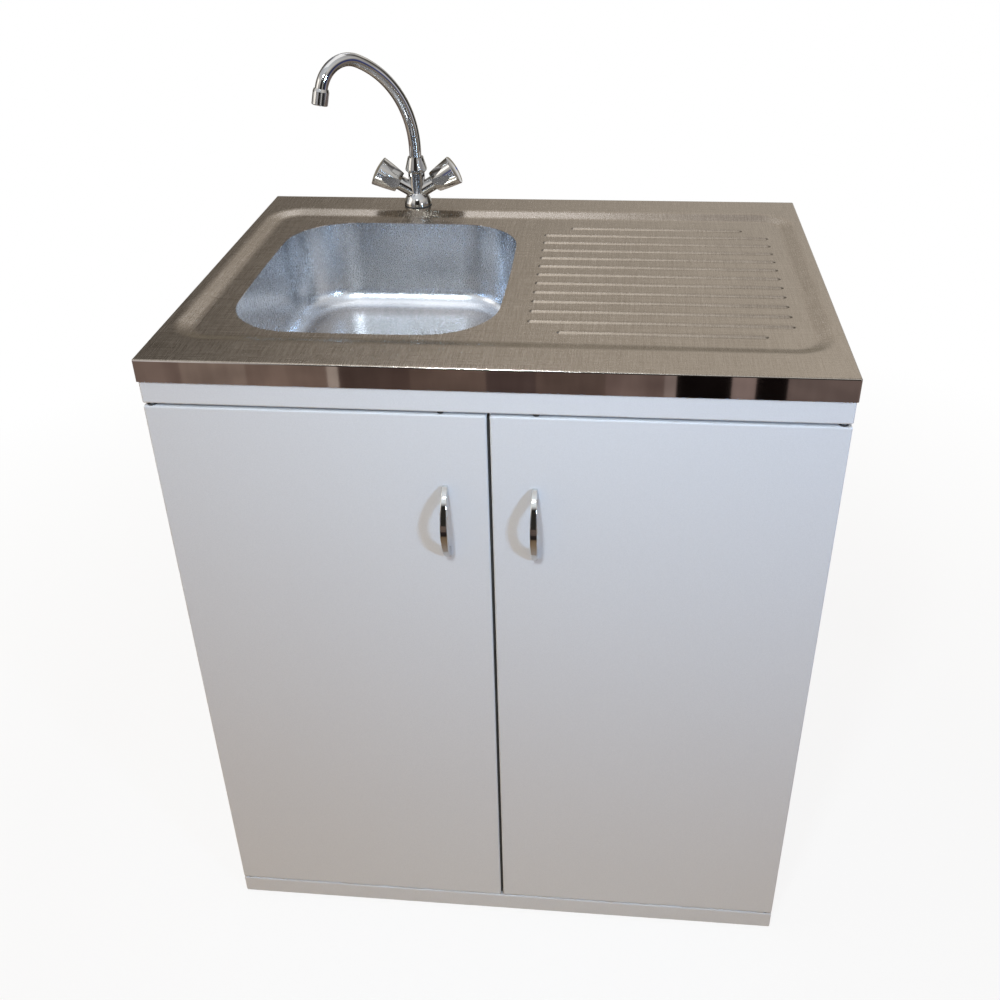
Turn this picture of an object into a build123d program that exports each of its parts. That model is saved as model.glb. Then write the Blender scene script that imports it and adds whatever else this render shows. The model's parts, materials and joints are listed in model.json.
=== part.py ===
from build123d import *
from math import cos, radians, sin
import os

# Kitchen sink unit: a stainless lay-on top with a bowl, drainer and two-handle mixer tap, on a folded steel
# cabinet with two doors. Millimetres. +Z is up, the front faces -Y and +X is to the right of someone facing
# it. The origin is on the floor under the middle of the unit's bounding box, with the handles counted in.

os.makedirs("parts", exist_ok=True)

# ---------------------------------------------------------------- driving sizes

# Overall
deck_width = 800.0
deck_depth = 600.0
deck_height = 910.0  # floor to the top of the deck
apron_height = 28.0
deck_sheet = 0.8
steel_sheet = 0.8
bend_radius = 2.5  # outside of a folded edge
apron_radius = 2.0
slip = 0.2  # clearance between sheet pieces that slot together

# Cabinet
front_setback = 2.0  # door face behind the apron
side_setback = 1.4
back_setback = 1.4
rail_face = 28.2  # face of the top rail that shows under the apron
plinth_height = 30.0
glide_height = 3.0
glide_radius = 9.0
glide_peg_radius = 3.0
glide_peg_length = 5.0
side_flange = 20.0
side_top_flange = 6.0
rail_depth = 22.0
catch_flange = 50.0  # depth of the top rail's lower flange where it carries the catches
back_rail_height = 79.0
back_rail_flange = 11.0
back_foot_height = 60.0
wall_hole_inset = 50.0  # from the deck's left and right edges
wall_hole_radius = 4.0
wall_hole_drop = 45.0
rivet_radius = 2.0
rivet_head_radius = 3.5
rivet_head_height = 1.0
rivet_edge = 12.0

# Doors
door_thickness = 18.0
top_gap = 3.3
bottom_gap = 1.5
centre_gap = 3.5
door_seal_thickness = 2.5  # soft strip on the left door's free edge
door_seal_inset = 3.5
pivot_inset_x = 9.0
pivot_inset_y = 6.8
pin_radius = 3.0
pin_head_radius = 4.2
pin_head_height = 2.0
pin_reach = 10.0  # length of pin inside the door
pin_clearance = 0.05
bush_radius = 4.5
bush_length = 12.0
bush_collar_radius = 5.5
bush_collar = 1.0
buffer_offset = 54.0
buffer_radius = 4.0
buffer_height = 2.4
buffer_inset = 5.0
catch_offset = 70.0
catch_width = 34.0
catch_height = 14.0
catch_depth = 24.0
catch_gap = 0.4
strike_thickness = 1.0

# Handles
handle_offset = 52.5  # from the unit's centre line
handle_drop = 142.5  # from the door's top edge to the handle's middle
handle_reach = 29.0  # from the door's face to the front of the bow
handle_length = 100.0
handle_span = 72.0  # between the insides of its feet
handle_hole_spacing = 80.0
handle_width = 8.6
handle_tip_width = 6.4
handle_thickness = 5.0
handle_end_height = 4.0  # the bow's outer face above the door at its ends
handle_screw_radius = 1.9
handle_screw_depth = 7.0
handle_screw_head_radius = 3.6
handle_screw_head = 2.4
handle_access_radius = 6.0

# Pressed face of the deck, from its left, right, front and back edges
recess_left = 15.0
recess_right = 12.0
recess_front = 60.0
recess_back = 60.0
recess_drop = 5.0
recess_slope = 20.0
recess_radius = 50.0
recess_blend = 30.0

# Drainer ribs, from the bowl, the deck's right edge and its front edge
rib_gap = 34.5  # between the bowl and the ribs
rib_right = 51.5
rib_first = 112.5
rib_pitch = 30.55
rib_count = 13
rib_width = 10.0
rib_height = 1.8
rib_short_left = 37.0  # how much shorter the first and last ribs are at each end
rib_short_right = 34.0
rib_root = 0.4

# Bowl, from the deck's left and front edges
bowl_left = 64.5
bowl_front = 94.5
bowl_width = 334.0
bowl_length = 398.0
bowl_bow = 5.0  # how far its sides bow out
bowl_corner = 90.0
bowl_depth = 125.0
bowl_draft = 3.0  # degrees
bowl_floor_radius = 28.0
bowl_flange = 9.0

# Stiffening channels under the drainer
stiffener_insets = (330.0, 100.0)  # their middles, from the deck's right edge
stiffener_width = 36.0
stiffener_height = 14.0
stiffener_lip = 12.0
stiffener_end = 30.0  # from the recess's flat

# Waste: strainer dish, basket, gasket, body and screw, on one axis
waste_flange_radius = 56.0
waste_flange_height = 1.6
dish_radius = 41.0
dish_seat_radius = 38.0
dish_seat_depth = 6.0
dish_depth = 28.0
dish_sheet = 1.0
dish_hole_radius = 7.0
dish_hole_circle = 23.0
dish_hole_count = 6
bowl_hole_clearance = 2.0
gasket_thickness = 3.0
waste_body_radius = 59.0
waste_body_wall = 3.0
waste_body_flange = 4.0
waste_body_depth = 52.0
outlet_radius = 23.5
outlet_length = 22.0
waste_screw_radius = 3.0
waste_screw_head_radius = 5.5
waste_screw_head = 3.5
waste_screw_length = 24.0
waste_hub_radius = 7.0
waste_hub_length = 20.0
basket_radius = 35.0
basket_rim_clearance = 0.8
basket_sheet = 1.0
basket_float = 0.5  # above the waste screw's head
basket_slot_count = 12
basket_slot_radius = 2.2
basket_knob_radius = 7.0
basket_knob_height = 21.0
basket_stem_radius = 3.2
basket_seal_radius = 37.4
basket_seal_height = 3.0

# Bottle trap
pipe_radius = 20.0
pipe_wall = 2.5
trap_seal_thickness = 2.0
slip_nut_radius = 29.0
slip_nut_height = 24.0
slip_nut_lip = 4.0
slip_nut_ribs = 12
pipe_flange_radius = 23.0
pipe_flange_height = 3.0
nut_clearance = 0.4
trap_drop = 130.0  # from the waste outlet's end to the trap's neck
trap_neck_length = 18.0
trap_body_radius = 34.0
trap_body_height = 84.0
trap_wall = 3.0
trap_outlet_drop = 32.0  # neck's foot to the outlet's axis
trap_cup_radius = 33.0
trap_cup_height = 85.0
trap_cup_overlap = 16.0
trap_dip = 70.0  # how far the inlet pipe hangs below the trap's outlet axis
trap_outlet_length = 26.0
outlet_pipe_inset = 20.0  # outlet pipe's end in front of the cabinet's back
outlet_push_depth = 55.0  # length that goes into the wall's socket, up to the pipe's stop bead
outlet_bead_radius = 22.0
outlet_bead_width = 4.0

# Tap, from the deck's left and back edges
tap_left = 231.5
tap_back = 34.0
tap_turn = 4.5  # degrees, left knob towards the front
tap_hole_radius = 17.5
tap_base_radius = 20.5
tap_base_height = 4.0
tap_gasket_thickness = 1.5
tap_column_radius = 12.5
tap_column_foot = 20.0
tap_column_height = 50.0
tap_spigot_radius = 16.8
tap_spigot_depth = 0.6
tap_bore_depth = 16.0
inlet_offset = 8.5
inlet_radius = 4.45
inlet_depth = 12.0
stud_offset = 11.0
stud_radius = 4.0
stud_depth = 8.0
stud_length = 62.0
clamp_radius = 19.2
clamp_thickness = 3.0
clamp_slot = 27.0
clamp_slot_start = 5.0
tap_nut_radius = 6.5
tap_nut_height = 9.0

# Valve arms, measured along each arm from the tap's axis
arm_rise = 30.5  # degrees above the deck
arm_height = 18.5
arm_radius = 10.8
arm_length = 33.0
arm_bore = 9.0
arm_bore_start = 18.0
headwork_radius = 8.9
headwork_flange_radius = 10.4
headwork_flange = 3.0
headwork_nose_radius = 6.5
headwork_nose = 8.5
spindle_radius = 3.6
spindle_clearance = 0.05
spindle_inside = 12.0
spindle_length = 32.0
knob_start = 31.0
knob_length = 39.5
knob_inner_radius = 16.5
knob_outer_radius = 22.0
knob_dome = 3.0
knob_facets = 6
knob_facet_depth = 2.8
knob_facet_start = 0.17  # share of the knob's length left round at its outer end
knob_cavity_radius = 12.2
knob_cavity = 15.0
knob_edge = 1.0
index_radius = 3.6
index_recess = 2.6
index_sink = 0.5
knob_screw_radius = 1.9
knob_screw_head_radius = 3.3
knob_screw_head = 2.0
knob_screw_length = 9.0

# Spout
spout_azimuth = 224.0  # degrees, towards the front left
spout_radius = 9.0
spout_wall = 1.4
spout_clearance = 0.06
spout_gap = 0.3
spout_foot_wall = 3.0
spout_straight = 83.5  # top of the straight part above the deck
spout_lower_bend = 152.0
spout_lower_angle = 65.0
spout_upper_bend = 43.0
spout_upper_angle = 101.0
spout_ring_radius = 10.5
spout_ring_height = 2.0
seal_section = 0.8
seal_pitch = 5.0
collar_radius = 16.2
collar_top_radius = 11.6
collar_height = 23.0
collar_belt = 6.0
collar_pocket_radius = 11.5
aerator_radius = 11.4
aerator_length = 22.0
aerator_overlap = 6.0  # length of tube inside the housing
aerator_shoulder = 4.0
aerator_grooves = 12
aerator_groove_radius = 1.0
aerator_insert_radius = 9.4
aerator_insert_length = 9.0
aerator_inset = 1.2
aerator_mesh_holes = 8
aerator_mesh_radius = 1.3

# ---------------------------------------------------------------- derived places

deck_front = (handle_reach - front_setback - deck_depth) / 2
deck_back = deck_front + deck_depth
door_face = deck_front + front_setback
side_x = deck_width / 2 - side_setback
carcass_back = deck_back - back_setback
carcass_top = deck_height - deck_sheet
plinth_top = glide_height + plinth_height
door_bottom = plinth_top + bottom_gap
rail_bottom = deck_height - apron_height - rail_face
door_top = rail_bottom - top_gap
side_front = door_face + rail_depth
panel_top = deck_height - recess_drop
panel_under = panel_top - deck_sheet


def across(distance):
    """X of a place measured from the deck's left edge."""
    return distance - deck_width / 2


def behind(distance):
    """Y of a place measured from the deck's front edge."""
    return deck_front + distance


# ---------------------------------------------------------------- shared shapes


def block(x0, x1, y0, y1, z0, z1, mode=Mode.ADD):
    """A box between two corners, in the part being built."""
    with Locations(((x0 + x1) / 2, (y0 + y1) / 2, (z0 + z1) / 2)):
        return Box(abs(x1 - x0), y1 - y0, z1 - z0, mode=mode)


def turn(section, outline, mode=Mode.ADD):
    """A solid turned about the section plane's Y axis, from its (radius, height) corners."""
    with BuildSketch(section) as profile:
        with BuildLine():
            Polyline(*outline, close=True)
        make_face()
    revolve(profile.sketch, axis=Axis(section.origin, section.y_dir), mode=mode)


def rod(section, radius, start, end, mode=Mode.ADD):
    """A plain cylinder on the section plane's Y axis."""
    turn(section, [(0, start), (radius, start), (radius, end), (0, end)], mode)


def tube(section, outer, inner, start, end, mode=Mode.ADD):
    """A plain ring on the section plane's Y axis."""
    turn(section, [(inner, start), (outer, start), (outer, end), (inner, end)], mode)


def upright(x, y, z=0.0):
    """Section plane of a vertical axis: its Y is up."""
    return Plane(origin=(x, y, z), x_dir=(1, 0, 0), z_dir=(0, -1, 0))


def facing_front(x, y, z):
    """Section plane of an axis that points to the front."""
    return Plane(origin=(x, y, z), x_dir=(1, 0, 0), z_dir=(0, 0, -1))


def facing_back(x, y, z):
    """Section plane of an axis that points to the back."""
    return Plane(origin=(x, y, z), x_dir=(1, 0, 0), z_dir=(0, 0, 1))


def along(origin, direction, spin=0.0):
    """Section plane of an axis in any direction that isn't vertical, turned about itself by spin degrees."""
    y_dir = Vector(*direction).normalized()
    level = Vector(0, 0, 1).cross(y_dir).normalized()
    x_dir = level.rotate(Axis((0, 0, 0), y_dir), spin)
    return Plane(origin=origin, x_dir=x_dir, z_dir=x_dir.cross(y_dir))


def crossing(section, height):
    """The plane across a section plane's Y axis at one height on it."""
    return Plane(origin=section.origin + section.y_dir * height, x_dir=section.x_dir, z_dir=section.y_dir)


def folded_pan(low, high, way, sheet, radius):
    """A sheet tray between two corners, folded round its face, which looks along way, such as "-Y"."""
    number = "XYZ".index(way[1])
    axis = (Axis.X, Axis.Y, Axis.Z)[number]
    side = 0 if way[0] == "-" else -1
    inner_low = [value + sheet for value in low]
    inner_high = [value - sheet for value in high]
    if side == 0:
        inner_high[number] = high[number] + sheet
    else:
        inner_low[number] = low[number] - sheet
    with BuildPart() as hollow:
        block(inner_low[0], inner_high[0], inner_low[1], inner_high[1], inner_low[2], inner_high[2])
        fillet(hollow.edges().group_by(axis)[side] + hollow.edges().filter_by(axis), radius - sheet)
    with BuildPart() as pan:
        block(low[0], high[0], low[1], high[1], low[2], high[2])
        fillet(pan.edges().group_by(axis)[side] + pan.edges().filter_by(axis), radius)
        add(hollow.part, mode=Mode.SUBTRACT)
    return pan.part


def write(piece, name):
    """Label a finished piece and save it."""
    piece.part.label = name
    export_step(piece.part, f"parts/{name}.step")


# ---------------------------------------------------------------- deck

recess_width = deck_width - recess_left - recess_right
recess_length = deck_depth - recess_front - recess_back
recess_x = across(recess_left + recess_width / 2)
recess_y = behind(recess_front + recess_length / 2)
bowl_x = across(bowl_left + bowl_width / 2)
bowl_y = behind(bowl_front + bowl_length / 2)
tap_x = across(tap_left)
tap_y = deck_back - tap_back
rib_curve = (rib_width**2 / 4 + rib_height**2) / (2 * rib_height)  # radius of a rib's crown


def rib_block(number, floor):
    """One drainer rib with rounded ends: the crown of a long pill, cut off below the panel."""
    outermost = number in (0, rib_count - 1)
    start = across(bowl_left + bowl_width + rib_gap + rib_width / 2 + (rib_short_left if outermost else 0))
    end = across(deck_width - rib_right - rib_width / 2 - (rib_short_right if outermost else 0))
    y = behind(rib_first + number * rib_pitch)
    middle = floor + rib_height - rib_curve
    with BuildPart() as rib:
        with Locations(((start + end) / 2, y, middle)):
            Cylinder(rib_curve, end - start, rotation=(0, 90, 0))
        with Locations((start, y, middle), (end, y, middle)):
            Sphere(rib_curve)
        split(bisect_by=Plane.XY.offset(floor - rib_root))
    return rib.part


def pressed_block(margin, low, lift):
    """The block under the pressed face: margin in from the deck's edge and lift below its top."""
    top = deck_height - lift
    floor = top - recess_drop
    ribs = [rib_block(number, floor) for number in range(rib_count)]
    with BuildPart() as recess:
        with BuildSketch(Plane.XY.offset(top)):
            with Locations((recess_x, recess_y)):
                RectangleRounded(recess_width, recess_length, recess_radius)
        with BuildSketch(Plane.XY.offset(floor)):
            with Locations((recess_x, recess_y)):
                RectangleRounded(
                    recess_width - 2 * recess_slope,
                    recess_length - 2 * recess_slope,
                    recess_radius - recess_slope,
                )
        loft(ruled=True)
        fillet(recess.edges().group_by(Axis.Z)[0], recess_blend)
    with BuildPart() as pressed:
        block(
            margin - deck_width / 2,
            deck_width / 2 - margin,
            deck_front + margin,
            deck_back - margin,
            low,
            top,
        )
        rounding = apron_radius - margin
        fillet(pressed.edges().group_by(Axis.Z)[-1] + pressed.edges().filter_by(Axis.Z), rounding)
        add(recess.part, mode=Mode.SUBTRACT)
        fillet(pressed.edges(Select.LAST).group_by(Axis.Z)[-1], recess_blend)
        for rib in ribs:
            add(rib)
    return pressed.part


def bowl_outline(grow=0.0):
    """The bowl's outline: bowed sides with large round corners."""
    half_width = bowl_width / 2 - bowl_bow + grow
    half_length = bowl_length / 2 - bowl_bow + grow
    with BuildSketch() as outline:
        with BuildLine():
            front_left = (-half_width, -half_length)
            front_right = (half_width, -half_length)
            back_right = (half_width, half_length)
            back_left = (-half_width, half_length)
            ThreePointArc(front_left, (0, -half_length - bowl_bow), front_right)
            ThreePointArc(front_right, (half_width + bowl_bow, 0), back_right)
            ThreePointArc(back_right, (0, half_length + bowl_bow), back_left)
            ThreePointArc(back_left, (-half_width - bowl_bow, 0), front_left)
        make_face()
        fillet(outline.vertices(), bowl_corner + grow)
    return outline.sketch


apron_bottom = deck_height - apron_height
deck_inside = pressed_block(deck_sheet, apron_bottom - deck_sheet, deck_sheet)

with BuildPart() as deck:
    add(pressed_block(0.0, apron_bottom, 0.0))
    add(deck_inside, mode=Mode.SUBTRACT)
    with BuildSketch(Plane.XY.offset(panel_under - deck_sheet)):
        with Locations((bowl_x, bowl_y)):
            add(bowl_outline())
    extrude(amount=deck_height - panel_under + deck_sheet, mode=Mode.SUBTRACT)
    rod(upright(tap_x, tap_y, deck_height), tap_hole_radius, -2 * deck_sheet, deck_sheet, Mode.SUBTRACT)
write(deck, "deck")

# Hat-section channels that stiffen the drainer from below
stiffener_front = behind(recess_front + recess_slope + stiffener_end)
stiffener_back = behind(deck_depth - recess_back - recess_slope - stiffener_end)
stiffener_low = panel_under - stiffener_height
half_channel = stiffener_width / 2

with BuildPart() as drainer_stiffeners:
    for inset in stiffener_insets:
        x = deck_width / 2 - inset
        left, right = x - half_channel, x + half_channel
        block(left, right, stiffener_front, stiffener_back, stiffener_low, panel_under)
        block(
            left + deck_sheet,
            right - deck_sheet,
            stiffener_front - slip,
            stiffener_back + slip,
            stiffener_low - slip,
            panel_under - deck_sheet,
            Mode.SUBTRACT,
        )
        lips = ((left - stiffener_lip, left + deck_sheet), (right - deck_sheet, right + stiffener_lip))
        for start, end in lips:
            block(start, end, stiffener_front, stiffener_back, stiffener_low, stiffener_low + deck_sheet)
write(drainer_stiffeners, "drainer_stiffeners")

# ---------------------------------------------------------------- bowl

bowl_floor = panel_top - bowl_depth
bowl_under = bowl_floor - deck_sheet
bowl_hole_radius = dish_radius + dish_sheet + bowl_hole_clearance


def bowl_block(grow, top, bottom):
    """The bowl's drafted body, grown sideways, with a rounded floor edge."""
    with BuildPart() as body:
        with BuildSketch(Plane.XY.offset(top)):
            with Locations((bowl_x, bowl_y)):
                add(bowl_outline(grow))
        extrude(amount=bottom - top, taper=bowl_draft)
        fillet(body.edges().group_by(Axis.Z)[0], bowl_floor_radius + grow)
    return body.part


with BuildPart() as bowl:
    add(bowl_block(deck_sheet, panel_under, bowl_under))
    with BuildSketch(Plane.XY.offset(panel_under)):
        with Locations((bowl_x, bowl_y)):
            add(bowl_outline(bowl_flange))
    extrude(amount=-deck_sheet)
    add(bowl_block(0.0, panel_under, bowl_floor), mode=Mode.SUBTRACT)
    rod(upright(bowl_x, bowl_y), bowl_hole_radius, bowl_under - slip, bowl_floor + slip, Mode.SUBTRACT)
write(bowl, "bowl")

# ---------------------------------------------------------------- waste

waste = upright(bowl_x, bowl_y)
flange_edge = waste_flange_height / 3
dish_seat = bowl_floor - dish_seat_depth
dish_bottom = bowl_floor - dish_depth

with BuildPart() as strainer_dish:
    turn(
        waste,
        [
            (waste_screw_radius + slip, dish_bottom - dish_sheet),
            (dish_seat_radius + dish_sheet, dish_bottom - dish_sheet),
            (dish_seat_radius + dish_sheet, dish_seat - dish_sheet),
            (dish_radius + dish_sheet, dish_seat - dish_sheet),
            (dish_radius + dish_sheet, bowl_floor),
            (waste_flange_radius, bowl_floor),
            (waste_flange_radius, bowl_floor + flange_edge),
            (waste_flange_radius - waste_flange_height, bowl_floor + waste_flange_height),
            (dish_radius + flange_edge, bowl_floor + waste_flange_height),
            (dish_radius, bowl_floor + flange_edge),
            (dish_radius, dish_seat),
            (dish_seat_radius, dish_seat),
            (dish_seat_radius, dish_bottom),
            (waste_screw_radius + slip, dish_bottom),
        ],
    )
    with Locations((bowl_x, bowl_y, dish_bottom)):
        with PolarLocations(dish_hole_circle, dish_hole_count):
            Cylinder(dish_hole_radius, 4 * dish_sheet, mode=Mode.SUBTRACT)
write(strainer_dish, "strainer_dish")

gasket_low = bowl_under - gasket_thickness

with BuildPart() as waste_gasket:
    tube(waste, waste_flange_radius, bowl_hole_radius, gasket_low, bowl_under)
write(waste_gasket, "waste_gasket")

# Plastic body: a funnel with a clamping flange, an outlet spigot, and a hub on a bar for the screw
funnel_radius = bowl_hole_radius + waste_body_wall / 2
funnel_foot = gasket_low - waste_body_depth
outlet_end = funnel_foot - outlet_length
outlet_bore = outlet_radius - waste_body_wall
hub_top = dish_bottom - dish_sheet
hub_bottom = hub_top - waste_hub_length
funnel_knee = hub_top - waste_body_flange

with BuildPart() as waste_body:
    turn(
        waste,
        [
            (0, gasket_low),
            (waste_body_radius, gasket_low),
            (waste_body_radius, gasket_low - waste_body_flange),
            (funnel_radius + waste_body_wall, gasket_low - waste_body_flange),
            (funnel_radius + waste_body_wall, funnel_knee - waste_body_wall / 2),
            (outlet_radius, funnel_foot),
            (outlet_radius, outlet_end),
            (0, outlet_end),
        ],
    )
    turn(
        waste,
        [
            (0, gasket_low + slip),
            (funnel_radius, gasket_low + slip),
            (funnel_radius, funnel_knee),
            (outlet_bore, funnel_foot + waste_body_wall / 2),
            (outlet_bore, outlet_end - slip),
            (0, outlet_end - slip),
        ],
        Mode.SUBTRACT,
    )
    rod(waste, waste_hub_radius, hub_bottom, hub_top)
    bar_reach = outlet_radius + 2 * waste_body_wall
    bar_half = waste_body_wall / 2
    block(
        bowl_x - bar_reach,
        bowl_x + bar_reach,
        bowl_y - bar_half,
        bowl_y + bar_half,
        hub_bottom,
        hub_bottom + 2 * waste_body_wall,
    )
    rod(waste, waste_screw_radius + pin_clearance, hub_bottom - slip, hub_top + slip, Mode.SUBTRACT)
write(waste_body, "waste_body")

with BuildPart() as waste_screw:
    rod(waste, waste_screw_radius, dish_bottom - waste_screw_length, dish_bottom)
    rod(waste, waste_screw_head_radius, dish_bottom, dish_bottom + waste_screw_head)
    chamfer(waste_screw.edges().group_by(Axis.Z)[-1], waste_screw_head / 4)
    with Locations((bowl_x, bowl_y, dish_bottom + waste_screw_head)):
        Box(2 * waste_screw_head_radius, dish_sheet, waste_screw_head, mode=Mode.SUBTRACT)
write(waste_screw, "waste_screw")

basket_low = dish_bottom + waste_screw_head + basket_float
basket_bore = basket_radius - basket_sheet
basket_rim = dish_radius - basket_rim_clearance
knob_top = basket_low + basket_knob_height

with BuildPart() as strainer_basket:
    turn(
        waste,
        [
            (0, basket_low),
            (basket_radius, basket_low),
            (basket_radius, dish_seat),
            (basket_rim, dish_seat),
            (basket_rim, dish_seat + basket_sheet),
            (basket_bore, dish_seat + basket_sheet),
            (basket_bore, basket_low + basket_sheet),
            (basket_stem_radius, basket_low + basket_sheet),
            (basket_stem_radius, knob_top - basket_knob_radius),
            (basket_knob_radius, knob_top - basket_knob_radius / 2),
            (basket_knob_radius, knob_top - basket_knob_radius / 4),
            (basket_knob_radius - basket_sheet, knob_top),
            (0, knob_top),
        ],
    )
    with Locations((bowl_x, bowl_y, basket_low)):
        for circle in (basket_radius / 2, basket_radius * 3 / 4):
            with PolarLocations(circle, basket_slot_count):
                Cylinder(basket_slot_radius, 4 * basket_sheet, mode=Mode.SUBTRACT)
write(strainer_basket, "strainer_basket")

with BuildPart() as basket_seal:
    tube(waste, basket_seal_radius, basket_radius, basket_low, basket_low + basket_seal_height)
write(basket_seal, "basket_seal")

# ---------------------------------------------------------------- bottle trap

pipe_bore = pipe_radius - pipe_wall
neck_bore = pipe_radius + nut_clearance
trap_mouth = outlet_end - trap_drop
trap_top = trap_mouth - trap_neck_length
trap_bottom = trap_top - trap_body_height
trap_axis = trap_top - trap_outlet_drop
outlet_mouth = bowl_y + trap_body_radius + trap_outlet_length
flange_stack = trap_seal_thickness + pipe_flange_height

waste_down = Plane(origin=(bowl_x, bowl_y, outlet_end), x_dir=(1, 0, 0), z_dir=(0, 1, 0))
neck_up = upright(bowl_x, bowl_y, trap_mouth)
outlet_back = facing_back(bowl_x, outlet_mouth, trap_axis)


def slip_nut(mouth, stack):
    """A ribbed nut over a spigot's mouth, its lip past the stack of rings that it presses on the mouth."""
    lip_end = stack + slip_nut_lip
    start = lip_end - slip_nut_height
    bore = outlet_radius + nut_clearance
    tube(mouth, slip_nut_radius, neck_bore, start, lip_end)
    rod(mouth, bore, start - slip, stack, Mode.SUBTRACT)
    with Locations(crossing(mouth, (start + lip_end) / 2)):
        with PolarLocations(slip_nut_radius, slip_nut_ribs):
            Cylinder(slip_nut_lip / 2, slip_nut_height - slip_nut_lip)


with BuildPart() as trap_nut_waste:
    slip_nut(waste_down, flange_stack)
with BuildPart() as trap_nut_neck:
    slip_nut(neck_up, trap_seal_thickness)
with BuildPart() as trap_nut_outlet:
    slip_nut(outlet_back, trap_seal_thickness)
with BuildPart() as slip_nuts:
    for nut in (trap_nut_waste, trap_nut_neck, trap_nut_outlet):
        add(nut.part)
write(slip_nuts, "slip_nuts")

with BuildPart() as trap_seals:
    tube(waste_down, pipe_flange_radius, pipe_bore, 0, trap_seal_thickness)
    for mouth in (neck_up, outlet_back):
        tube(mouth, pipe_flange_radius, pipe_radius, 0, trap_seal_thickness)
write(trap_seals, "trap_seals")

with BuildPart() as trap_tailpiece:
    tube(waste_down, pipe_flange_radius, pipe_bore, trap_seal_thickness, flange_stack)
    tube(waste_down, pipe_radius, pipe_bore, trap_seal_thickness, outlet_end - trap_axis + trap_dip)
write(trap_tailpiece, "trap_tailpiece")

body_axis = upright(bowl_x, bowl_y)
body_bore = trap_body_radius - trap_wall

with BuildPart() as trap_body:
    rod(body_axis, trap_body_radius, trap_bottom, trap_top)
    chamfer(trap_body.edges().group_by(Axis.Z)[-1], trap_wall)
    rod(body_axis, outlet_radius, trap_top - trap_wall, trap_mouth)
    rod(outlet_back, outlet_radius, -trap_outlet_length - trap_wall, 0)
    rod(body_axis, body_bore, trap_bottom - slip, trap_top - trap_wall, Mode.SUBTRACT)
    rod(body_axis, neck_bore, trap_top - 2 * trap_wall, trap_mouth + slip, Mode.SUBTRACT)
    rod(outlet_back, neck_bore, -trap_outlet_length - 2 * trap_wall, slip, Mode.SUBTRACT)
write(trap_body, "trap_body")

cup_bore = trap_body_radius + nut_clearance
cup_top = trap_bottom + trap_cup_overlap
cup_bottom = cup_top - trap_cup_height

with BuildPart() as trap_cup:
    turn(
        body_axis,
        [
            (cup_bore, cup_top),
            (cup_bore + trap_wall, cup_top),
            (cup_bore + trap_wall, trap_bottom - trap_wall),
            (trap_cup_radius, trap_bottom - 2 * trap_wall),
            (trap_cup_radius - trap_wall, cup_bottom + 2 * trap_wall),
            (trap_cup_radius - 3 * trap_wall, cup_bottom),
            (0, cup_bottom),
            (0, cup_bottom + trap_wall),
            (trap_cup_radius - 4 * trap_wall, cup_bottom + trap_wall),
            (trap_cup_radius - 2 * trap_wall, cup_bottom + 3 * trap_wall),
            (trap_cup_radius - trap_wall, trap_bottom - 2 * trap_wall),
            (body_bore, trap_bottom),
            (cup_bore, trap_bottom),
        ],
    )
    with Locations((bowl_x, bowl_y, (cup_top + trap_bottom) / 2)):
        with PolarLocations(cup_bore + trap_wall, slip_nut_ribs):
            Cylinder(slip_nut_lip / 2, trap_cup_overlap)
write(trap_cup, "trap_cup")

outlet_pipe_end = carcass_back - outlet_pipe_inset
bead_back = outlet_pipe_end - outlet_push_depth

with BuildPart() as outlet_pipe:
    tube(
        facing_back(bowl_x, 0, trap_axis),
        pipe_radius,
        pipe_bore,
        bowl_y + trap_body_radius + trap_wall,
        outlet_pipe_end,
    )
    tube(
        facing_back(bowl_x, 0, trap_axis),
        outlet_bead_radius,
        pipe_radius - pipe_wall / 2,
        bead_back - outlet_bead_width,
        bead_back,
    )
write(outlet_pipe, "outlet_pipe")

# ---------------------------------------------------------------- tap body and its fixing

tap = upright(tap_x, tap_y, deck_height)
tap_turned = Location((tap_x, tap_y, deck_height), (0, 0, tap_turn))
arm_angles = {"cold": tap_turn, "hot": tap_turn + 180}
body_top = tap_column_height
bore_low = tap_column_height - tap_bore_depth
spout_bore = spout_radius + spout_clearance


def arm_plane(side, spin=0.0):
    """Section plane of one valve arm: its Y runs out along the arm from the tap's axis."""
    heading = radians(arm_angles[side])
    rise = radians(arm_rise)
    direction = (cos(rise) * cos(heading), cos(rise) * sin(heading), sin(rise))
    return along((tap_x, tap_y, deck_height + arm_height), direction, spin)


with BuildPart() as tap_gasket:
    tube(tap, tap_base_radius + slip, tap_spigot_radius + slip, 0, tap_gasket_thickness)
write(tap_gasket, "tap_gasket")

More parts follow.
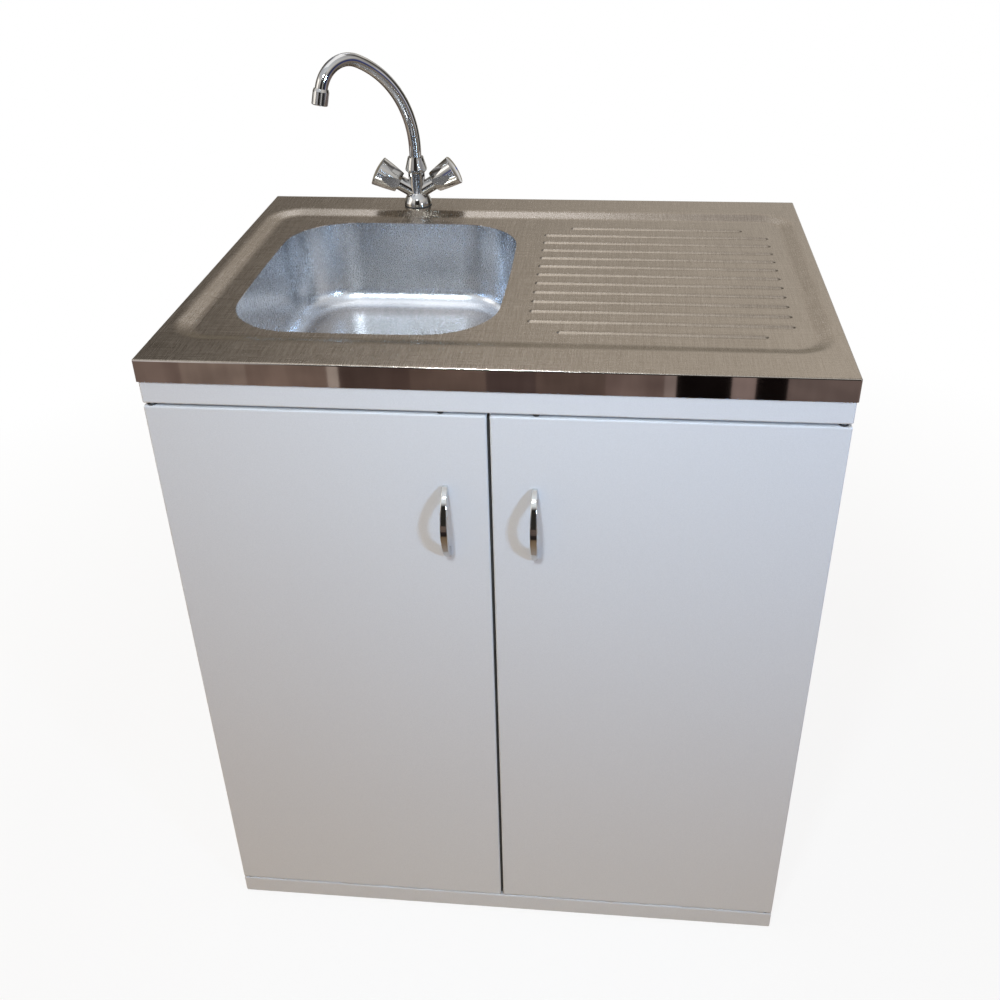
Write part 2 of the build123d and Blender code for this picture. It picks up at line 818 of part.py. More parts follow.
with BuildPart() as tap_body:
    with BuildSketch(tap):
        with BuildLine():
            shoulder = tap_gasket_thickness + tap_base_height
            foot_middle = (tap_base_radius * 2 + tap_column_radius) / 3
            Polyline(
                (0, tap_column_height),
                (0, -tap_spigot_depth),
                (tap_spigot_radius, -tap_spigot_depth),
                (tap_spigot_radius, tap_gasket_thickness),
                (tap_base_radius, tap_gasket_thickness),
                (tap_base_radius, shoulder),
            )
            ThreePointArc(
                (tap_base_radius, shoulder),
                (foot_middle, (shoulder + tap_column_foot) / 2),
                (tap_column_radius, tap_column_foot),
            )
            Polyline((tap_column_radius, tap_column_foot), (tap_column_radius, body_top), (0, body_top))
        make_face()
    revolve(axis=Axis(tap.origin, tap.y_dir))
    for side in arm_angles:
        rod(arm_plane(side), arm_radius, 0, arm_length)
    for side in arm_angles:
        rod(arm_plane(side), arm_bore, arm_bore_start, arm_length + slip, Mode.SUBTRACT)
    rod(tap, spout_bore, bore_low, body_top + slip, Mode.SUBTRACT)
    hole_foot = -tap_spigot_depth
    for across_tap in (-inlet_offset, inlet_offset):
        inlet = tap_turned * Location((across_tap, 0, hole_foot + inlet_depth / 2))
        with Locations(inlet):
            Cylinder(inlet_radius, inlet_depth, mode=Mode.SUBTRACT)
    with Locations(tap_turned * Location((0, -stud_offset, hole_foot + stud_depth / 2))):
        Cylinder(stud_radius + pin_clearance, stud_depth, mode=Mode.SUBTRACT)
write(tap_body, "tap_body")

under_deck = -deck_sheet  # below the deck's top
clamp_low = under_deck - clamp_thickness

with BuildPart() as tap_clamp:
    with Locations(tap_turned * Location((0, 0, under_deck - clamp_thickness / 2))):
        Cylinder(clamp_radius, clamp_thickness)
        with Locations((0, clamp_radius - clamp_slot_start, 0)):
            Box(clamp_slot, 2 * clamp_radius, 2 * clamp_thickness, mode=Mode.SUBTRACT)
        with Locations((0, -stud_offset, 0)):
            Cylinder(stud_radius + slip, 2 * clamp_thickness, mode=Mode.SUBTRACT)
write(tap_clamp, "tap_clamp")

stud_top = hole_foot + stud_depth - slip

with BuildPart() as tap_stud:
    with Locations(tap_turned * Location((0, -stud_offset, stud_top - stud_length / 2))):
        Cylinder(stud_radius, stud_length)
    chamfer(tap_stud.edges().filter_by(GeomType.CIRCLE).group_by(Axis.Z)[0], stud_radius / 5)
write(tap_stud, "tap_stud")

with BuildPart() as tap_nut:
    nut_place = tap_turned * Location((0, -stud_offset, clamp_low - tap_nut_height))
    with BuildSketch(Plane(nut_place)):
        RegularPolygon(tap_nut_radius, 6, major_radius=False)
        Circle(stud_radius + pin_clearance, mode=Mode.SUBTRACT)
    extrude(amount=tap_nut_height)
write(tap_nut, "tap_nut")

# ---------------------------------------------------------------- valve headworks and knobs

flange_end = arm_length + headwork_flange
nose_end = flange_end + headwork_nose
spindle_start = nose_end - spindle_inside
spindle_end = spindle_start + spindle_length
knob_end = knob_start + knob_length
cavity_end = knob_start + knob_cavity
index_floor = knob_end - index_recess
screw_seat = index_floor - knob_screw_head
facet_start = knob_end - knob_length * knob_facet_start
facet_foot = knob_inner_radius - knob_facet_depth
facet_size = 2 * knob_outer_radius
rim_radius = knob_outer_radius - knob_edge
screw_hole = knob_screw_radius + pin_clearance
index_well = index_radius + pin_clearance


def build_valve(side):
    """Headwork, spindle, knob, knob screw and index of one side of the tap."""
    arm = arm_plane(side)

    with BuildPart() as headwork:
        rod(arm, headwork_radius, arm_bore_start + slip, arm_length)
        rod(arm, headwork_flange_radius, arm_length, flange_end)
        rod(arm, headwork_nose_radius, flange_end, nose_end)
        rod(arm, spindle_radius + spindle_clearance, spindle_start - slip, nose_end + slip, Mode.SUBTRACT)
    write(headwork, f"{side}_headwork")

    with BuildPart() as spindle:
        rod(arm, spindle_radius, spindle_start, spindle_end)
        rod(arm, screw_hole, screw_seat - knob_screw_length, spindle_end + slip, Mode.SUBTRACT)
    write(spindle, f"{side}_spindle")

    with BuildPart() as knob:
        with BuildSketch(arm):
            with BuildLine():
                rim = (rim_radius, knob_end - knob_dome)
                Polyline(
                    (0, knob_end),
                    (0, knob_start),
                    (knob_inner_radius - knob_edge, knob_start),
                    (knob_inner_radius, knob_start + knob_edge),
                    (knob_outer_radius, knob_end - knob_dome - knob_edge),
                    rim,
                )
                ThreePointArc(rim, (rim_radius / 2, knob_end - knob_dome / 4), (0, knob_end))
            make_face()
        revolve(axis=Axis(arm.origin, arm.y_dir))
        for number in range(knob_facets):
            with BuildSketch(arm_plane(side, number * 360 / knob_facets)):
                with BuildLine():
                    Polyline(
                        (knob_outer_radius, facet_start),
                        (facet_foot, knob_start - slip),
                        (facet_size, knob_start - slip),
                        (facet_size, facet_start),
                        close=True,
                    )
                make_face()
            extrude(amount=facet_size, both=True, mode=Mode.SUBTRACT)
        rod(arm, knob_cavity_radius, knob_start - slip, cavity_end, Mode.SUBTRACT)
        rod(arm, spindle_radius + pin_clearance, cavity_end - slip, spindle_end, Mode.SUBTRACT)
        rod(arm, screw_hole, spindle_end - slip, knob_end, Mode.SUBTRACT)
        rod(arm, index_well, screw_seat, knob_end + slip, Mode.SUBTRACT)
    write(knob, f"{side}_knob")

    with BuildPart() as knob_screw:
        rod(arm, knob_screw_radius, screw_seat - knob_screw_length, screw_seat)
        rod(arm, knob_screw_head_radius, screw_seat, index_floor)
    write(knob_screw, f"{side}_knob_screw")

    with BuildPart() as index:
        rod(arm, index_radius, index_floor, knob_end - index_sink)
        rim = index.edges().sort_by_distance(arm.origin)[-1]
        fillet(rim, index_sink)
    write(index, f"{side}_index")


for side in arm_angles:
    build_valve(side)

# ---------------------------------------------------------------- spout

ring_low = body_top + spout_gap
ring_top = ring_low + spout_ring_height
spout_foot = bore_low + spout_gap
heading = radians(spout_azimuth)
spout_plane = Plane(
    origin=(tap_x, tap_y, deck_height),
    x_dir=(cos(heading), sin(heading), 0),
    z_dir=(sin(heading), -cos(heading), 0),
)

with BuildLine(spout_plane) as spout_path:
    riser = Line((0, spout_foot), (0, spout_straight))
    lower = JernArc(riser @ 1, riser % 1, spout_lower_bend, -spout_lower_angle)
    upper = JernArc(lower @ 1, lower % 1, spout_upper_bend, -spout_upper_angle)
    nozzle = Line(upper @ 1, upper @ 1 + (upper % 1) * aerator_overlap)

spout_start = Plane(spout_path.line @ 0, x_dir=(1, 0, 0), z_dir=(0, 0, 1))
foot_bore = spout_radius - spout_foot_wall
seal_heights = (spout_foot + seal_pitch, spout_foot + 2 * seal_pitch)
seal_middle = spout_bore - seal_section - spout_clearance / 2

with BuildPart() as spout_hollow:
    with BuildSketch(spout_start):
        Circle(spout_radius - spout_wall)
    sweep(path=spout_path.line)

with BuildPart() as spout:
    with BuildSketch(spout_start):
        Circle(spout_radius)
    sweep(path=spout_path.line)
    add(spout_hollow.part, mode=Mode.SUBTRACT)
    tube(tap, spout_radius - spout_wall / 2, foot_bore, spout_foot, ring_top)
    tube(tap, spout_ring_radius, spout_radius - spout_wall / 2, ring_low, ring_top)
    for height in seal_heights:
        tube(
            tap,
            spout_radius + slip,
            seal_middle - seal_section,
            height - seal_section - pin_clearance,
            height + seal_section + pin_clearance,
            Mode.SUBTRACT,
        )
write(spout, "spout")

with BuildPart() as spout_seals:
    for height in seal_heights:
        with BuildSketch(tap):
            with Locations((seal_middle, height)):
                Circle(seal_section)
        revolve(axis=Axis(tap.origin, tap.y_dir))
write(spout_seals, "spout_seals")

collar_bore = spout_radius + spout_gap
pocket_top = ring_top + spout_gap
collar_top = body_top + collar_height

with BuildPart() as spout_collar:
    turn(
        tap,
        [
            (collar_pocket_radius, body_top),
            (tap_column_radius + slip, body_top),
            (collar_radius, body_top + collar_radius - tap_column_radius),
            (collar_radius, body_top + collar_belt),
            (collar_top_radius, collar_top),
            (collar_bore, collar_top),
            (collar_bore, pocket_top),
            (collar_pocket_radius, pocket_top),
        ],
    )
write(spout_collar, "spout_collar")

nozzle_start = nozzle @ 0
aerator = along(nozzle_start, tuple(nozzle % 1))
insert_end = aerator_length - aerator_inset
insert_start = insert_end - aerator_insert_length

with BuildPart() as aerator_housing:
    turn(
        aerator,
        [
            (spout_radius + pin_clearance, 0),
            (spout_radius + pin_clearance + aerator_inset, 0),
            (aerator_radius, aerator_shoulder),
            (aerator_radius, aerator_length - aerator_inset),
            (aerator_radius - aerator_inset, aerator_length),
            (aerator_insert_radius - aerator_inset, aerator_length),
            (aerator_insert_radius - aerator_inset, insert_end),
            (aerator_insert_radius + pin_clearance, insert_end),
            (aerator_insert_radius + pin_clearance, aerator_overlap),
            (spout_radius + pin_clearance, aerator_overlap),
        ],
    )
    grip_middle = (aerator_shoulder + aerator_length) / 2 + aerator_groove_radius
    with Locations(crossing(aerator, grip_middle)):
        with PolarLocations(aerator_radius + aerator_groove_radius / 2, aerator_grooves):
            Cylinder(aerator_groove_radius, aerator_length - aerator_shoulder, mode=Mode.SUBTRACT)
write(aerator_housing, "aerator_housing")

with BuildPart() as aerator_insert:
    rod(aerator, aerator_insert_radius, insert_start, insert_end)
    with Locations(crossing(aerator, (insert_start + insert_end) / 2)):
        for share, holes in ((1 / 3, aerator_mesh_holes // 2), (2 / 3, aerator_mesh_holes)):
            with PolarLocations(aerator_insert_radius * share, holes):
                Cylinder(aerator_mesh_radius, 2 * aerator_insert_length, mode=Mode.SUBTRACT)
write(aerator_insert, "aerator_insert")

# ---------------------------------------------------------------- cabinet

flange_middle = side_x - side_flange / 2
pivot_x = side_x - pivot_inset_x
pivot_y = door_face + pivot_inset_y
pin_hole = pin_radius + pin_clearance
sheet_back = side_front + steel_sheet
inner_back = carcass_back - steel_sheet
web_front = inner_back - steel_sheet
back_rail_x = side_x - side_top_flange - slip
front_rivet_heights = (
    glide_height + plinth_height / 2,
    rail_bottom + rivet_edge,
    carcass_top - rivet_edge,
)
back_rivet_heights = (
    glide_height + back_foot_height - rivet_edge,
    carcass_top - back_rail_height + rivet_edge,
    apron_bottom - rivet_edge,
)
rivet_hole = rivet_radius + pin_clearance
peg_hole = glide_peg_radius + pin_clearance
fold_clearance = bend_radius + slip  # clears the inside of a fold
flange_end = side_x - side_flange  # inner end of the side panels' flanges
flange_front = inner_back - back_rail_flange


def rivet_places(side):
    """Back ends of the rivets' sheet stacks on one side of the cabinet."""
    x = side * flange_middle
    front = [(x, sheet_back, height) for height in front_rivet_heights]
    back = [(x, carcass_back, height) for height in back_rivet_heights]
    return front + back


def punch_rivet_holes():
    """Cut every rivet's hole through the two sheets that it joins."""
    for side in (-1, 1):
        for place in rivet_places(side):
            rod(facing_back(*place), rivet_hole, -2 * steel_sheet - slip, slip, Mode.SUBTRACT)


glide_rows = (side_front + side_flange, carcass_back - side_flange)
glide_places = [(side * flange_middle, y) for side in (-1, 1) for y in glide_rows]


def build_side(side, name):
    """One side panel: a sheet with flanges folded inwards all round, the top one narrow."""
    outer, inner = side * side_x, side * (side_x - side_flange)
    low = (min(outer, inner), side_front, glide_height)
    high = (max(outer, inner), carcass_back, carcass_top)
    with BuildPart() as panel:
        add(folded_pan(low, high, "-X" if side < 0 else "+X", steel_sheet, bend_radius))
        left, right = sorted((side * (side_x - side_top_flange), inner - side * slip))
        cut_low, cut_high = carcass_top - bend_radius, carcass_top + slip
        block(left, right, sheet_back, carcass_back + slip, cut_low, cut_high, Mode.SUBTRACT)
        punch_rivet_holes()
        for place in glide_places:
            rod(upright(*place), peg_hole, 0, glide_height + 2 * steel_sheet, Mode.SUBTRACT)
    write(panel, name)


build_side(-1, "left_side")
build_side(1, "right_side")

with BuildPart() as bottom_panel:
    tray_x = side_x - fold_clearance
    low = (-tray_x, side_front + fold_clearance, glide_height + steel_sheet)
    high = (tray_x, carcass_back - fold_clearance, plinth_top)
    add(folded_pan(low, high, "+Z", steel_sheet, bend_radius))
write(bottom_panel, "bottom_panel")

# The front rails' end tabs lie on the side panels' front flanges
tab_spans = ((bend_radius - side_x, -flange_end), (flange_end, side_x - bend_radius))

with BuildPart() as top_rail:
    low = (-side_x, door_face, rail_bottom)
    high = (side_x, side_front, carcass_top)
    add(folded_pan(low, high, "-Y", steel_sheet, bend_radius))
    for left, right in tab_spans:
        block(left, right, side_front - steel_sheet, side_front, rail_bottom, carcass_top)
    ledge_x = flange_end - slip
    ledge_back = door_face + catch_flange
    block(-ledge_x, ledge_x, side_front - steel_sheet, ledge_back, rail_bottom, rail_bottom + steel_sheet)
    punch_rivet_holes()
    for x in (-pivot_x, pivot_x):
        rod(upright(x, pivot_y, rail_bottom), pin_hole, -slip, 2 * steel_sheet, Mode.SUBTRACT)
write(top_rail, "top_rail")

with BuildPart() as plinth_rail:
    low = (-side_x, door_face, glide_height)
    high = (side_x, side_front, plinth_top)
    add(folded_pan(low, high, "-Y", steel_sheet, bend_radius))
    for left, right in tab_spans:
        block(left, right, side_front - steel_sheet, side_front, glide_height, plinth_top)
    punch_rivet_holes()
    for x in (-pivot_x, pivot_x):
        rod(upright(x, pivot_y, plinth_top), pin_hole, -2 * steel_sheet, slip, Mode.SUBTRACT)
write(plinth_rail, "plinth_rail")

with BuildPart() as back_rail:
    low, high = carcass_top - back_rail_height, carcass_top
    block(-back_rail_x, back_rail_x, web_front, inner_back, low, high)
    for bottom in (low, high - steel_sheet):
        block(-back_rail_x, back_rail_x, flange_front, inner_back, bottom, bottom + steel_sheet)
    punch_rivet_holes()
    for x in (wall_hole_inset - deck_width / 2, deck_width / 2 - wall_hole_inset):
        wall_hole = facing_back(x, inner_back, carcass_top - wall_hole_drop)
        rod(wall_hole, wall_hole_radius, -2 * steel_sheet, slip, Mode.SUBTRACT)
write(back_rail, "back_rail")

with BuildPart() as back_foot_rail:
    low = glide_height + fold_clearance
    high = glide_height + back_foot_height
    block(-back_rail_x, back_rail_x, web_front, inner_back, low, high)
    block(-back_rail_x, back_rail_x, flange_front, inner_back, high - steel_sheet, high)
    punch_rivet_holes()
write(back_foot_rail, "back_foot_rail")

with BuildPart() as rivets:
    for side in (-1, 1):
        for place in rivet_places(side):
            stack = -2 * steel_sheet
            rod(facing_back(*place), rivet_radius, stack, 0)
            rod(facing_back(*place), rivet_head_radius, 0, rivet_head_height)
            rod(facing_back(*place), rivet_head_radius, stack - rivet_head_height, stack)
write(rivets, "rivets")

with BuildPart() as glides:
    for place in glide_places:
        rod(upright(*place), glide_radius, 0, glide_height)
        rod(upright(*place), glide_peg_radius, glide_height, glide_height + glide_peg_length)
write(glides, "glides")

# ---------------------------------------------------------------- hinge pins, buffers and catches

head_low = rail_bottom + steel_sheet
head_high = plinth_top - steel_sheet

with BuildPart() as pivot_pins:
    for x in (-pivot_x, pivot_x):
        pivot = upright(x, pivot_y)
        rod(pivot, pin_head_radius, head_low, head_low + pin_head_height)
        rod(pivot, pin_radius, door_top - pin_reach, head_low)
        rod(pivot, pin_head_radius, head_high - pin_head_height, head_high)
        rod(pivot, pin_radius, head_high, door_bottom + pin_reach)
write(pivot_pins, "pivot_pins")

with BuildPart() as rail_buffers:
    for x in (-buffer_offset, buffer_offset):
        buffer = upright(x, door_face + buffer_inset)
        rod(buffer, buffer_radius, rail_bottom - buffer_height, rail_bottom)
    fillet(rail_buffers.edges().group_by(Axis.Z)[0], buffer_height / 3)
write(rail_buffers, "rail_buffers")

door_back = door_face + door_thickness
catch_front = door_back + strike_thickness + catch_gap

with BuildPart() as magnetic_catches:
    for x in (-catch_offset, catch_offset):
        left, right = x - catch_width / 2, x + catch_width / 2
        block(left, right, catch_front, catch_front + catch_depth, rail_bottom - catch_height, rail_bottom)
    chamfer(magnetic_catches.edges().filter_by(Axis.Y), strike_thickness)
write(magnetic_catches, "magnetic_catches")

# ---------------------------------------------------------------- doors

liner_depth = door_thickness - pivot_inset_y - bush_radius - 2 * slip
handle_height = door_top - handle_drop
foot_heights = (handle_height - handle_hole_spacing / 2, handle_height + handle_hole_spacing / 2)
half_length = handle_length / 2
half_tip = handle_tip_width / 2
inner_reach = handle_reach - handle_thickness
half_span = handle_span / 2
bush_bore = pin_radius + pin_clearance
bush_hole = bush_radius + pin_clearance


def handle_profile():
    """The handle's outline seen from the side: a bow whose two solid feet stand on the door."""
    ThreePointArc((handle_end_height, -half_length), (handle_reach, 0), (handle_end_height, half_length))
    Polyline((handle_end_height, half_length), (0, half_length), (0, half_span))
    ThreePointArc((0, half_span), (inner_reach, 0), (0, -half_span))
    Polyline((0, -half_span), (0, -half_length), (handle_end_height, -half_length))


def handle_outline():
    """The handle's outline seen from the front: a strip that narrows towards its ends."""
    half_width = handle_width / 2
    ThreePointArc((half_tip, -half_length), (half_width, 0), (half_tip, half_length))
    Line((half_tip, half_length), (-half_tip, half_length))
    ThreePointArc((-half_tip, half_length), (-half_width, 0), (-half_tip, -half_length))
    Line((-half_tip, -half_length), (half_tip, -half_length))


def build_door(side, name):
    """One door with its liner, bushes, strike plate, handle and handle screws."""
    edges = sorted((side * side_x, side * centre_gap / 2))
    handle_x = side * handle_offset
    pivot = upright(side * pivot_x, pivot_y)

    with BuildPart() as door_skin:
        low = (edges[0], door_face, door_bottom)
        high = (edges[1], door_back, door_top)
        add(folded_pan(low, high, "-Y", steel_sheet, bend_radius))
        for height in foot_heights:
            hole = facing_back(handle_x, door_face, height)
            rod(hole, handle_screw_radius + slip, -slip, 2 * steel_sheet, Mode.SUBTRACT)
        rod(pivot, bush_hole, door_top - 2 * steel_sheet, door_top + slip, Mode.SUBTRACT)
        rod(pivot, bush_hole, door_bottom - slip, door_bottom + 2 * steel_sheet, Mode.SUBTRACT)
    write(door_skin, f"{name}_door_skin")

    with BuildPart() as door_liner:
        inset = steel_sheet + slip
        low = (edges[0] + inset, door_back - liner_depth, door_bottom + inset)
        high = (edges[1] - inset, door_back, door_top - inset)
        add(folded_pan(low, high, "+Y", steel_sheet, bend_radius))
        for height in foot_heights:
            access = facing_back(handle_x, door_back, height)
            rod(access, handle_access_radius, -2 * steel_sheet, slip, Mode.SUBTRACT)
    write(door_liner, f"{name}_door_liner")

    with BuildPart() as door_bushes:
        tube(pivot, bush_radius, bush_bore, door_top - bush_length, door_top)
        tube(pivot, bush_collar_radius, bush_bore, door_top, door_top + bush_collar)
        tube(pivot, bush_radius, bush_bore, door_bottom, door_bottom + bush_length)
        tube(pivot, bush_collar_radius, bush_bore, door_bottom - bush_collar, door_bottom)
    write(door_bushes, f"{name}_door_bushes")

    with BuildPart() as strike_plate:
        middle = side * catch_offset
        half = catch_width / 2 - strike_thickness
        block(
            middle - half,
            middle + half,
            door_back,
            door_back + strike_thickness,
            door_top - catch_height,
            door_top - inset - bend_radius,
        )
    write(strike_plate, f"{name}_strike_plate")

    with BuildPart() as handle:
        middle = (handle_x, door_face, handle_height)
        with BuildSketch(Plane(origin=middle, x_dir=(0, -1, 0), z_dir=(1, 0, 0))):
            with BuildLine():
                handle_profile()
            make_face()
        extrude(amount=handle_width, both=True)
        with BuildSketch(Plane(origin=middle, x_dir=(1, 0, 0), z_dir=(0, -1, 0))):
            with BuildLine():
                handle_outline()
            make_face()
        extrude(amount=2 * handle_reach, mode=Mode.INTERSECT)
        off_door = [edge for edge in handle.edges() if edge.bounding_box().min.Y < door_face - slip]
        fillet(off_door, handle_thickness / 4)
        for height in foot_heights:
            foot = facing_front(handle_x, door_face, height)
            rod(foot, handle_screw_radius + pin_clearance, -slip, handle_screw_depth + slip, Mode.SUBTRACT)
    write(handle, f"{name}_handle")

    with BuildPart() as handle_screws:
        for height in foot_heights:
            screw = facing_front(handle_x, door_face + steel_sheet, height)
            rod(screw, handle_screw_radius, 0, steel_sheet + handle_screw_depth)
            rod(screw, handle_screw_head_radius, -handle_screw_head, 0)
    write(handle_screws, f"{name}_handle_screws")


build_door(-1, "left")
build_door(1, "right")

with BuildPart() as left_door_seal:
    strip_front, strip_back = door_face + door_seal_inset, door_back - door_seal_inset
    strip_low, strip_high = door_bottom + door_seal_inset, door_top - door_seal_inset
    strip_left = -centre_gap / 2
    block(strip_left, strip_left + door_seal_thickness, strip_front, strip_back, strip_low, strip_high)
write(left_door_seal, "left_door_seal")
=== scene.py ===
import json
import math

import bpy
from mathutils import Matrix, Vector

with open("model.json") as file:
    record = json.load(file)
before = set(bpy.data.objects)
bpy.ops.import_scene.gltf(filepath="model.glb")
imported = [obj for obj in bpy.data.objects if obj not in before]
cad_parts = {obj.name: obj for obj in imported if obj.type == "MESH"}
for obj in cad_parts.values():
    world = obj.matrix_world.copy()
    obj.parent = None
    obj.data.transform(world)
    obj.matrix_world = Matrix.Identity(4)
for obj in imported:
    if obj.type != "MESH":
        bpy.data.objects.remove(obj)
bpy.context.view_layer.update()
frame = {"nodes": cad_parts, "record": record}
record = frame["record"]
nodes = frame["nodes"]


# ---------------------------------------------------------------- node tree helpers


class Tree:
    """A node tree with short calls.

    Places are metres in the row frame, because every CAD object sits at the origin.
    """

    def __init__(self, tree):
        self.tree = tree

    def add(self, kind, **values):
        node = self.tree.nodes.new(kind)
        for key, value in values.items():
            setattr(node, key, value)
        return node

    def plug(self, value, socket):
        """Links an output to a socket, or sets a plain number or colour on it."""
        if isinstance(value, bpy.types.NodeSocket):
            self.tree.links.new(value, socket)
        else:
            socket.default_value = value

    def math(self, operation, a, b=0.0, c=0.0, clamp=False):
        node = self.add("ShaderNodeMath", operation=operation, use_clamp=clamp)
        for socket, value in zip(node.inputs, (a, b, c)):
            self.plug(value, socket)
        return node.outputs[0]

    def ramp(self, value, *stops, ease="LINEAR"):
        """A colour ramp. Each stop is (position, grey) or (position, (r, g, b))."""
        node = self.add("ShaderNodeValToRGB")
        node.color_ramp.interpolation = ease
        elements = node.color_ramp.elements
        while len(elements) < len(stops):
            elements.new(0.5)
        for element, (position, colour) in zip(elements, stops):
            element.position = position
            if not isinstance(colour, tuple):
                colour = (colour,) * 3
            element.color = (*colour, 1)
        self.plug(value, node.inputs[0])
        return node.outputs[0]

    def mix(self, factor, a, b, blend="MIX"):
        """Mixes two colours."""
        node = self.add("ShaderNodeMix", data_type="RGBA", blend_type=blend)
        self.plug(factor, node.inputs[0])
        for socket, value in ((node.inputs[6], a), (node.inputs[7], b)):
            if isinstance(value, tuple) and len(value) == 3:
                value = (*value, 1)
            self.plug(value, socket)
        return node.outputs[2]

    def split(self, vector):
        node = self.add("ShaderNodeSeparateXYZ")
        self.plug(vector, node.inputs[0])
        return node.outputs


class Finish(Tree):
    """A material made of one Principled shader and its textures."""

    def __init__(self, name, **values):
        self.material = bpy.data.materials.new(name)
        self.material.use_nodes = True
        super().__init__(self.material.node_tree)
        self.shader = self.tree.nodes["Principled BSDF"]
        self.place = self.add("ShaderNodeTexCoord").outputs["Object"]
        for key, value in values.items():
            self.set(key.replace("_", " "), value)

    def set(self, name, value):
        if isinstance(value, tuple) and len(value) == 3:
            value = (*value, 1)
        self.plug(value, self.shader.inputs[name])

    def noise(self, scale, stretch=(1, 1, 1), detail=3.0, roughness=0.55):
        """Noise with so many cells to the metre, squeezed by stretch."""
        turned = self.add("ShaderNodeMapping")
        self.plug(self.place, turned.inputs["Vector"])
        turned.inputs["Scale"].default_value = [scale * s for s in stretch]
        node = self.add("ShaderNodeTexNoise")
        self.plug(turned.outputs[0], node.inputs["Vector"])
        node.inputs["Scale"].default_value = 1.0
        node.inputs["Detail"].default_value = detail
        node.inputs["Roughness"].default_value = roughness
        return node.outputs["Fac"]

    def bump(self, height, strength, distance):
        """Relief from a height texture, with its depth in metres."""
        node = self.add("ShaderNodeBump")
        node.inputs["Strength"].default_value = strength
        node.inputs["Distance"].default_value = distance
        self.plug(height, node.inputs["Height"])
        self.plug(node.outputs[0], self.shader.inputs["Normal"])

    def facing(self):
        """The surface's own normal, in the row frame."""
        return self.split(self.add("ShaderNodeNewGeometry").outputs["Normal"])


# ---------------------------------------------------------------- metals


def deck_finish():
    """Linen-rolled stainless with a brushed grain on top, the top painted dark and warm as a painted dim
    reflection, and a mirror-polished apron.
    """
    # The top's threads, flecks and clouds are the linen grain. Their overall dark warm brown is a painted
    # dim reflection, darker than the apron of the same steel.
    dark_thread, pale_thread = (0.25, 0.207, 0.162), (0.5, 0.437, 0.363)
    dark_fleck, pale_fleck = (0.255, 0.212, 0.166), (0.5, 0.44, 0.365)
    dark_cloud, pale_cloud = (0.3, 0.255, 0.207), (0.46, 0.4, 0.33)
    dark_apron, pale_apron = (0.5, 0.44, 0.41), (0.64, 0.58, 0.54)
    apron_roughness = (0.03, 0.03, 0.03)
    f = Finish("deck_steel", Metallic=1.0)
    up = f.facing()[2]
    grain = f.noise(1100, (1, 0.02, 0.1), 3, 0.7)
    cross = f.noise(1000, (0.02, 1, 0.1), 3, 0.7)
    weave = f.math("ADD", f.math("MULTIPLY", grain, 0.55), f.math("MULTIPLY", cross, 0.45))
    fleck = f.noise(420, detail=2, roughness=0.7)
    cloud = f.noise(5, (1, 0.7, 1), 3)
    top = f.ramp(weave, (0.38, dark_thread), (0.62, pale_thread))
    top = f.mix(0.3, top, f.ramp(fleck, (0.35, dark_fleck), (0.65, pale_fleck)))
    top = f.mix(0.2, top, f.ramp(cloud, (0.3, dark_cloud), (0.7, pale_cloud)))
    side = f.ramp(f.noise(26, (1, 1, 0.25), 3), (0.35, dark_apron), (0.65, pale_apron))
    polished = f.ramp(up, (0.35, 0.0), (0.75, 1.0))
    f.set("Base Color", f.mix(polished, side, top))
    rough = f.ramp(weave, (0.35, 0.2), (0.65, 0.34))
    f.set("Roughness", f.mix(polished, apron_roughness, rough))
    f.bump(f.math("MULTIPLY", weave, polished), 0.1, 0.0002)
    return f.material


def bowl_finish():
    """Satin stainless, drawn deep: a fine grain and soft clouds, and a floor painted darker and warmer as
    painted shade.
    """
    # Painted shade: a darker, warmer colour for the upward-facing bowl floor, which is the same steel as the
    # walls.
    floor_painted_shade = (0.4, 0.36, 0.33)
    f = Finish("bowl_steel", Metallic=1.0)
    grain = f.noise(900, (1, 1, 0.25), 3, 0.6)
    cloud = f.noise(12, (1, 1, 0.5), 3)
    colour = f.ramp(cloud, (0.3, (0.6, 0.63, 0.68)), (0.7, (0.74, 0.76, 0.79)))
    # Mask of upward-facing faces, where the painted shade goes.
    floor_shade_mask = f.ramp(f.facing()[2], (0.9, 0.0), (0.99, 1.0))
    colour = f.mix(floor_shade_mask, colour, floor_painted_shade)
    colour = f.mix(0.25, colour, f.ramp(grain, (0.35, (0.58, 0.61, 0.65)), (0.65, (0.77, 0.79, 0.82))))
    f.set("Base Color", colour)
    f.set("Roughness", f.ramp(grain, (0.35, 0.2), (0.65, 0.3)))
    f.bump(grain, 0.03, 0.0003)
    return f.material


def chrome_finish(name, low, high):
    """Plated brass: near mirror, with the slight haze of hand polishing."""
    f = Finish(name, Metallic=1.0)
    haze = f.noise(110, detail=3)
    wear = f.noise(28, detail=4)
    f.set("Base Color", f.ramp(wear, (0.3, low), (0.7, high)))
    f.set("Roughness", f.ramp(haze, (0.35, 0.05), (0.75, 0.1)))
    return f.material


def plain_metal(name, low, high, rough, scale, stretch=(1, 1, 1), relief=0.15):
    """A metal with a fine grain: zinc plate, turned brass or polished waste fittings."""
    f = Finish(name, Metallic=1.0)
    grain = f.noise(scale, stretch, 4)
    blotch = f.noise(60, detail=3)
    colour = f.ramp(grain, (0.3, low), (0.7, high))
    f.set("Base Color", f.mix(f.math("MULTIPLY", blotch, 0.35), colour, low))
    f.set("Roughness", f.ramp(grain, (0.3, rough), (0.7, rough + 0.14)))
    f.bump(grain, relief, 0.0003)
    return f.material


# ---------------------------------------------------------------- coats, plastics and rubber


